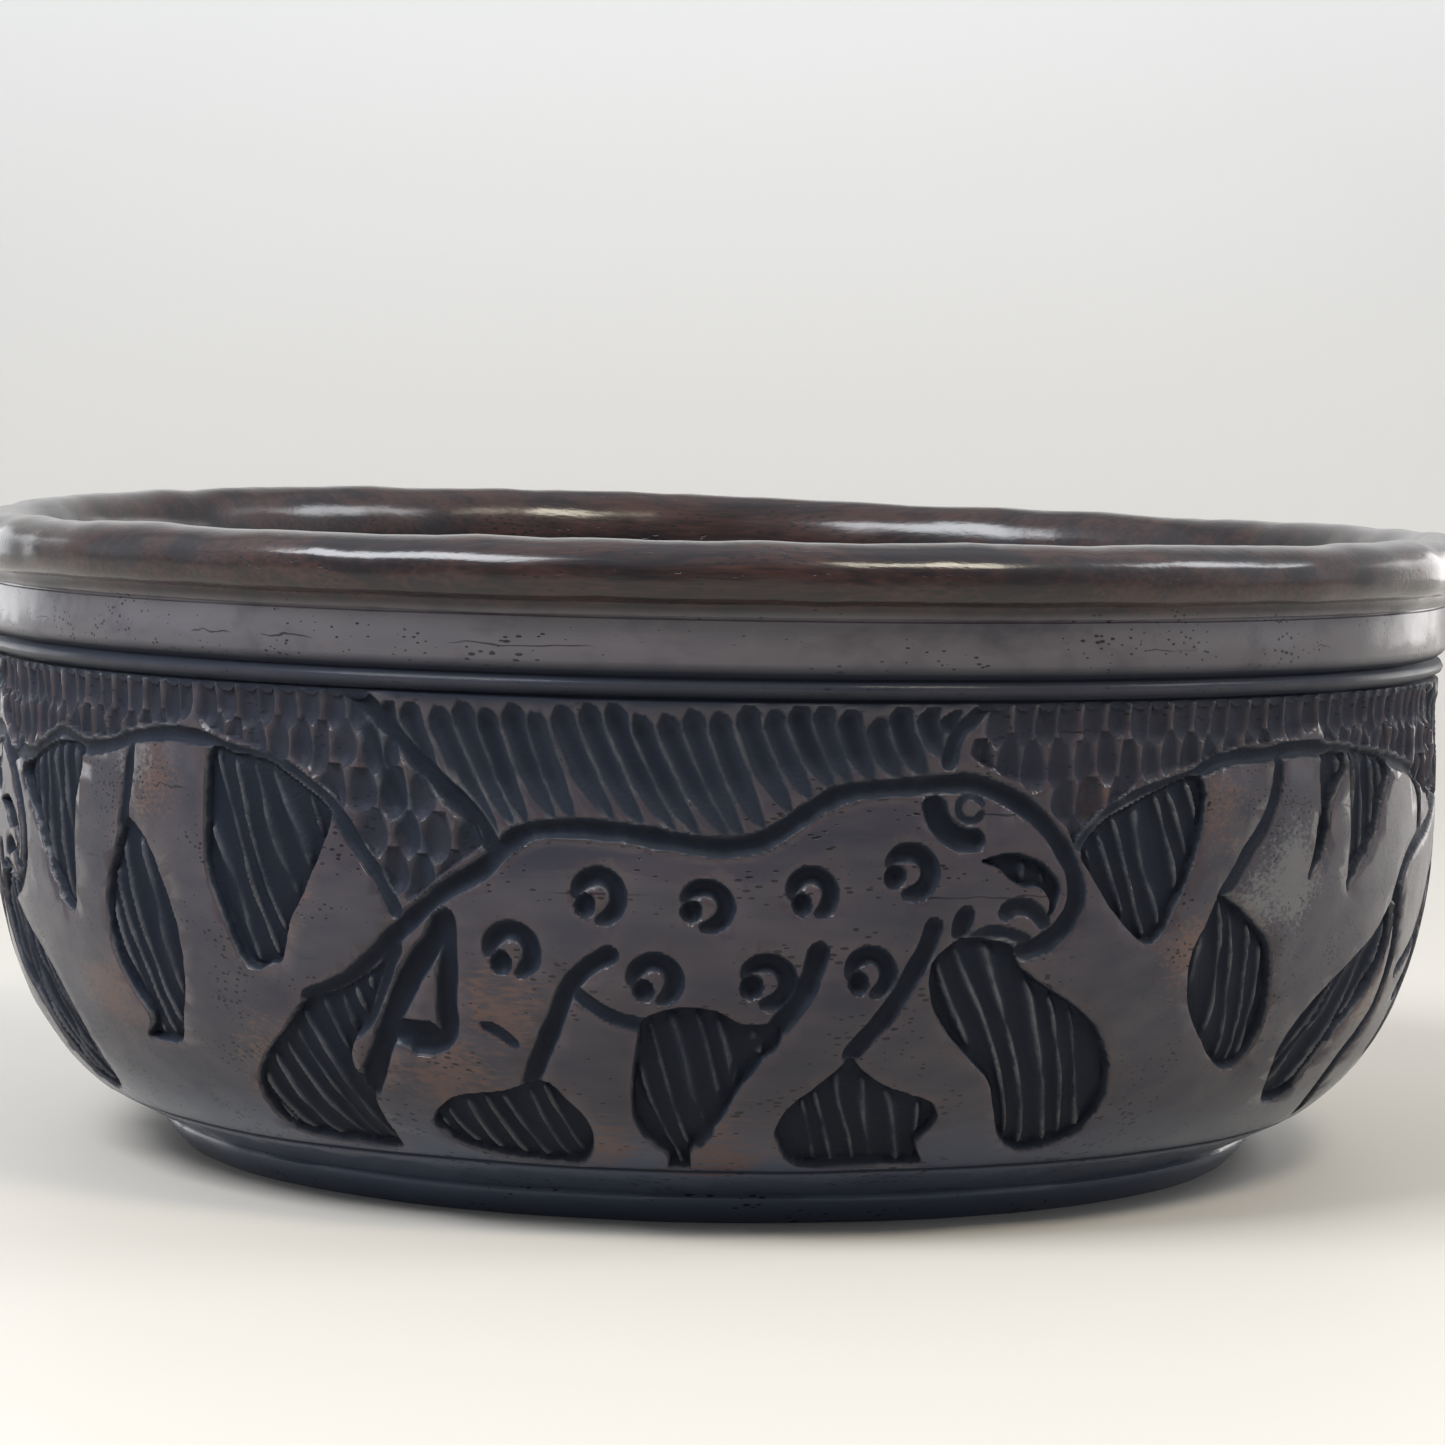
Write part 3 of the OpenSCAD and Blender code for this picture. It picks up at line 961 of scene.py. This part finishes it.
def grainOf(tree, place):
    # fine fibres, broad bands along them, and cloudy patches
    warp = noise(tree, stretched(tree, place, wood["warp"]), 1.0, 2.0)
    bent = vec(tree, "ADD", stretched(tree, place, wood["grain"]),
               xyz(tree, 0.0, times(tree, warp, 6.0), warp))
    fibre = noise(tree, bent, 1.0, 4.0, 0.6)
    bands = noise(tree, stretched(tree, bent, wood["bands"]), 1.0, 2.0)
    patches = noise(tree, stretched(tree, place, wood["patches"]), 1.0, 4.0, 0.65)
    return fibre, bands, patches


def flawsOf(tree, place):
    # open pores, and drying cracks, thin and level, one every so often up the wood
    cells = addNode(tree, "ShaderNodeTexVoronoi",
                    {"Vector": stretched(tree, place, wood["pores"]), "Scale": 1.0}, feature="F1")
    porous = noise(tree, stretched(tree, place, wood["porous"]), 1.0, 2.0)
    pore = calc(tree, "LESS_THAN", cells.outputs["Distance"], remap(tree, porous, 0.4, 0.64, 0.0, 0.3))
    sway = times(tree, noise(tree, stretched(tree, place, wood["grain"]), 0.4, 1.0), 0.12)
    level = plus(tree, times(tree, parts(tree, place)[2], 0.07), sway)
    fromLine = calc(tree, "ABSOLUTE", minus(tree, calc(tree, "FRACT", level), 0.5))
    cracked = remap(tree, noise(tree, stretched(tree, place, wood["cracks"]), 1.0, 1.0), 0.6, 0.66)
    return pore, times(tree, remap(tree, fromLine, 0.004, 0.014, 1.0, 0.0), cracked)


def zonesOf(tree, height):
    # shares of the rim, and outside of the collar, the turned grooves and the foot
    outer = painted(tree, "outer")
    rim = remap(tree, height, 111.0, 114.5, smooth=True)
    # painted light: the collar grows lighter toward its top, against the rim's shadow, over a lighter collar
    # stain
    collar = times(tree, remap(tree, height, 101.5, 110.0, 0.35, 1.0),
                   remap(tree, height, 111.5, 114.0, 1.0, 0.0))
    collar = times(tree, times(tree, outer, remap(tree, height, 101.0, 102.0)), collar)
    # the turned grooves, painted dark with stain and painted shade
    turned = 0.0
    for level in wood["grooveHeights"]:
        away = calc(tree, "ABSOLUTE", minus(tree, height, level))
        turned = larger(tree, remap(tree, away, 0.8, 2.6, 1.0, 0.0), turned)
    # painted shade: the foot and the wall up to 14 mm above the lower groove blend toward the foot's bluer
    # tone
    low = wood["darkBelow"]
    foot = times(tree, outer, remap(tree, height, low - 1.0, low + 14.0, 1.0, 0.0, smooth=True))
    return rim, collar, times(tree, turned, outer), foot


def worn(tree, name, ragged, low, high):
    near = painted(tree, name)
    return times(tree, remap(tree, plus(tree, near, ragged), low, high, smooth=True),
                 remap(tree, near, 0.0, 0.2))


def woodMaterial():
    material = bpy.data.materials.new("stainedHardwood")
    material.use_nodes = True
    tree = material.node_tree
    tree.nodes.clear()
    place = addNode(tree, "ShaderNodeTexCoord").outputs["Object"]
    place = vec(tree, "MULTIPLY", place, (1 / mm, 1 / mm, 1 / mm))
    fibre, bands, patches = grainOf(tree, place)
    pore, crack = flawsOf(tree, place)
    rim, collar, turned, foot = zonesOf(tree, parts(tree, place)[2])
    depth = painted(tree, "cut")
    cut = remap(tree, depth, 0.03, 0.35, smooth=True)
    # the cuts and the turned grooves take the dark colour of the cuts: stain and painted shade
    dark = larger(tree, cut, times(tree, turned, 0.92))
    proud = remap(tree, painted(tree, "proud"), 0.05, 0.4)
    ragged = plus(tree, times(tree, minus(tree, patches, 0.5), 1.9),
                  times(tree, minus(tree, fibre, 0.5), 2.2))
    rubbed = worn(tree, "rubs", ragged, 0.3, 1.0)
    scraped = worn(tree, "scrapes", ragged, 0.25, 0.85)

    streak = plus(tree, times(tree, fibre, 0.4), times(tree, patches, 0.4))
    streak = remap(tree, plus(tree, streak, times(tree, bands, 0.4)), 0.5, 0.76, smooth=True)
    rimColour = mixed(tree, streak, wood["rimStain"], wood["rimStreak"])
    plain = mixed(tree, remap(tree, bands, 0.3, 0.7), wood["stain"], wood["stainLight"])
    for share, colour in (
            # lighter collar stain with painted light toward its top
            (times(tree, collar, remap(tree, patches, 0.25, 0.5)), wood["collar"]),
            # painted shade at the foot and the lowest wall
            (foot, wood["foot"]),
            (rim, rimColour),
            (times(tree, rubbed, 0.8), wood["rubbed"]),
            (times(tree, scraped, 0.7), wood["scraped"]),
            (times(tree, times(tree, proud, patches), 0.4), wood["rubbed"]),
            (times(tree, larger(tree, pore, crack), 0.9), wood["pore"])):
        plain = mixed(tree, share, plain, colour)
    # painted shade: darker where a cut is deeper
    deep = mixed(tree, remap(tree, depth, 0.9, 1.6, smooth=True), wood["cut"], wood["cutDeepShade"])
    # painted highlight: lighter grey on the ridge crests between gouge cuts, partly worn wood
    crest = times(tree, times(tree, proud, remap(tree, patches, 0.35, 0.6)), 0.8)
    deep = mixed(tree, crest, deep, wood["crest"])

    # no wax in the cuts, but a little on the ridges between them
    smudge = noise(tree, stretched(tree, place, wood["smudges"]), 1.0, 4.0, 0.65)
    waxed = minus(tree, remap(tree, smudge, 0.32, 0.66, *wood["wax"]), times(tree, scraped, 0.35))
    bare = larger(tree, dark, remap(tree, depth, 0.01, 0.15))
    wax = blend(tree, bare, larger(tree, waxed, rim), times(tree, proud, wood["ridgeWax"]))
    rough = plus(tree, wood["roughness"], times(tree, plus(tree, fibre, scraped), 0.08))

    relief = minus(tree, times(tree, fibre, 0.3), times(tree, pore, 0.6))
    chatter = noise(tree, stretched(tree, place, wood["chatter"]), 1.0, 3.0)
    relief = plus(tree, relief, times(tree, times(tree, chatter, cut), 1.1))
    bump = addNode(tree, "ShaderNodeBump",
                   {"Strength": 0.4, "Distance": 0.3 * mm, "Height": relief}).outputs[0]
    shader = addNode(tree, "ShaderNodeBsdfPrincipled", {
        "Base Color": mixed(tree, dark, plain, deep), "Normal": bump, "Coat Normal": bump,
        "Roughness": blend(tree, dark, rough, wood["cutRoughness"]),
        "Coat Weight": wax, "Coat Roughness": wood["waxShine"], "Coat IOR": 1.43,
        "IOR": 1.45, "Specular IOR Level": 0.12, "Specular Tint": (0.9, 0.92, 1.0, 1.0)})
    end = addNode(tree, "ShaderNodeOutputMaterial")
    tree.links.new(shader.outputs[0], end.inputs[0])
    return material


# the camera, the table and the light

view = {
    "distance": 0.9345, "height": 0.1469,
    "lens": 114.9, "sensor": 36.0,
    "down": 3.86, "turn": 0.10, "tilt": 1.06,      # degrees
}


def placeCamera():
    down, turn, tilt = (math.radians(view[name]) for name in ("down", "turn", "tilt"))
    ahead = Vector((math.sin(turn) * math.cos(down), math.cos(turn) * math.cos(down), -math.sin(down)))
    right = Vector((math.cos(turn), -math.sin(turn), 0))
    up = right.cross(ahead)
    tiltedRight = right * math.cos(tilt) + up * math.sin(tilt)
    tiltedUp = up * math.cos(tilt) - right * math.sin(tilt)
    data = bpy.data.cameras.new("camera")
    data.lens = view["lens"]
    data.sensor_width = view["sensor"]
    camera = scratch("camera", data)
    camera.matrix_world = Matrix((tiltedRight, tiltedUp, -ahead)).transposed().to_4x4()
    camera.location = (0, -view["distance"], view["height"])
    bpy.context.scene.camera = camera


table = {
    "near": 5.0, "far": 1.5, "half": 5.0, "bend": 0.7, "tall": 2.6,      # metres
    "colour": (0.550, 0.519, 0.472, 1.0), "wallColour": (0.93, 0.929, 0.924, 1.0),
    "roughness": 0.55,
}


def paleMaterial():
    # cream table, turning neutral up the wall
    material = bpy.data.materials.new("paleTable")
    material.use_nodes = True
    tree = material.node_tree
    shader = tree.nodes["Principled BSDF"]
    height = parts(tree, addNode(tree, "ShaderNodeTexCoord").outputs["Object"])[2]
    colour = mixed(tree, remap(tree, height, 0.0, 0.5), table["colour"], table["wallColour"])
    tree.links.new(colour, shader.inputs["Base Color"])
    shader.inputs["Roughness"].default_value = table["roughness"]
    return material


def makeStage():
    # table top, curve and wall in one sheet
    bend, start = table["bend"], table["far"] - table["bend"]
    section = [(-table["near"], 0.0), (start, 0.0)]
    for step in range(1, 13):
        angle = math.pi / 2 * step / 12
        section.append((start + bend * math.sin(angle), bend * (1 - math.cos(angle))))
    section.append((table["far"], table["tall"]))
    corners = [(side * table["half"], y, z) for y, z in section for side in (-1, 1)]
    faces = [(2 * i, 2 * i + 1, 2 * i + 3, 2 * i + 2) for i in range(len(section) - 1)]
    data = bpy.data.meshes.new("tableTop")
    data.from_pydata(corners, [], faces)
    data.shade_smooth()
    data.materials.append(paleMaterial())
    scratch("tableTop", data)


def addLight(name, place, target, width, height, power, colour):
    data = bpy.data.lights.new(name, "AREA")
    data.shape = "RECTANGLE"
    data.size = width
    data.size_y = height
    data.energy = power
    data.color = colour
    light = scratch(name, data)
    light.visible_camera = False
    light.location = place
    light.rotation_euler = (Vector(target) - Vector(place)).to_track_quat("-Z", "Y").to_euler()


lamps = [
    # name, place, width, height, power, colour
    ("leftWindow", (-0.78, -0.62, 1.12), 0.8, 0.55, 23.0, (0.93, 0.96, 1.0)),
    ("rightWindow", (0.56, -0.7, 1.12), 0.36, 0.3, 7.6, (1.0, 0.92, 0.74)),
    ("farWindow", (1.15, -0.02, 1.05), 0.5, 0.36, 6.0, (0.95, 0.97, 1.0)),
    ("leftScreen", (-0.85, 0.75, 0.27), 0.6, 0.5, 1.8, (0.95, 0.97, 1.0)),
    ("rightScreen", (0.85, 0.75, 0.27), 0.6, 0.5, 2.6, (1.0, 0.97, 0.95)),
]
room = {"colour": (0.87, 0.92, 1.0, 1.0), "front": 0.24, "back": 1.1, "above": 0.8}


def lightScene():
    world = bpy.data.worlds.new("room")
    world.use_nodes = True
    tree = world.node_tree
    _, heading, upward = parts(tree, addNode(tree, "ShaderNodeTexCoord").outputs["Generated"])
    back = tree.nodes["Background"]
    back.inputs["Color"].default_value = room["colour"]
    # dimmer in front, where the room is dark, than beside and behind, and dimmer overhead
    level = remap(tree, heading, -0.97, 0.05, room["front"], room["back"], smooth=True)
    overhead = remap(tree, upward, 0.35, 0.9, 1.0, room["above"], smooth=True)
    tree.links.new(times(tree, level, overhead), back.inputs["Strength"])
    bpy.context.scene.world = world
    for name, place, width, height, power, colour in lamps:
        addLight(name, place, (0, 0, 0.1), width, height, power, colour)
    bpy.context.scene.view_settings.view_transform = "Standard"


placeCamera()
makeStage()
lightScene()
print("camera, table and lights placed")

woodFinish = woodMaterial()
lines = layOut()
cutters = makeCutters(lines, woodFinish)
bites = makeBites(lines, woodFinish)
print("cutting tools laid out:", len(cutters.data.polygons), "faces")
fineBowl = makeBowl(lines, cutters, bites, woodFinish)
print("carved:", len(fineBowl.data.polygons), "faces")
bowl = thinned(fineBowl, "carvedWoodenBowl", triangleCount, sharpAbove)
print("thinned:", len(bowl.data.polygons), "faces")
for name in ("grooveLines", "softLines", "pocketFaces", "clearFaces", "spotPoints", "grassLines",
             "rubPoints", "scrapePoints", "toolStart", "barkStart", "cutters", "bites",
             "bowlOutline", "bowlStart", "carvedBowl"):
    bpy.data.objects.remove(bpy.data.objects[name])

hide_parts("bowl")
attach(bowl, "root")
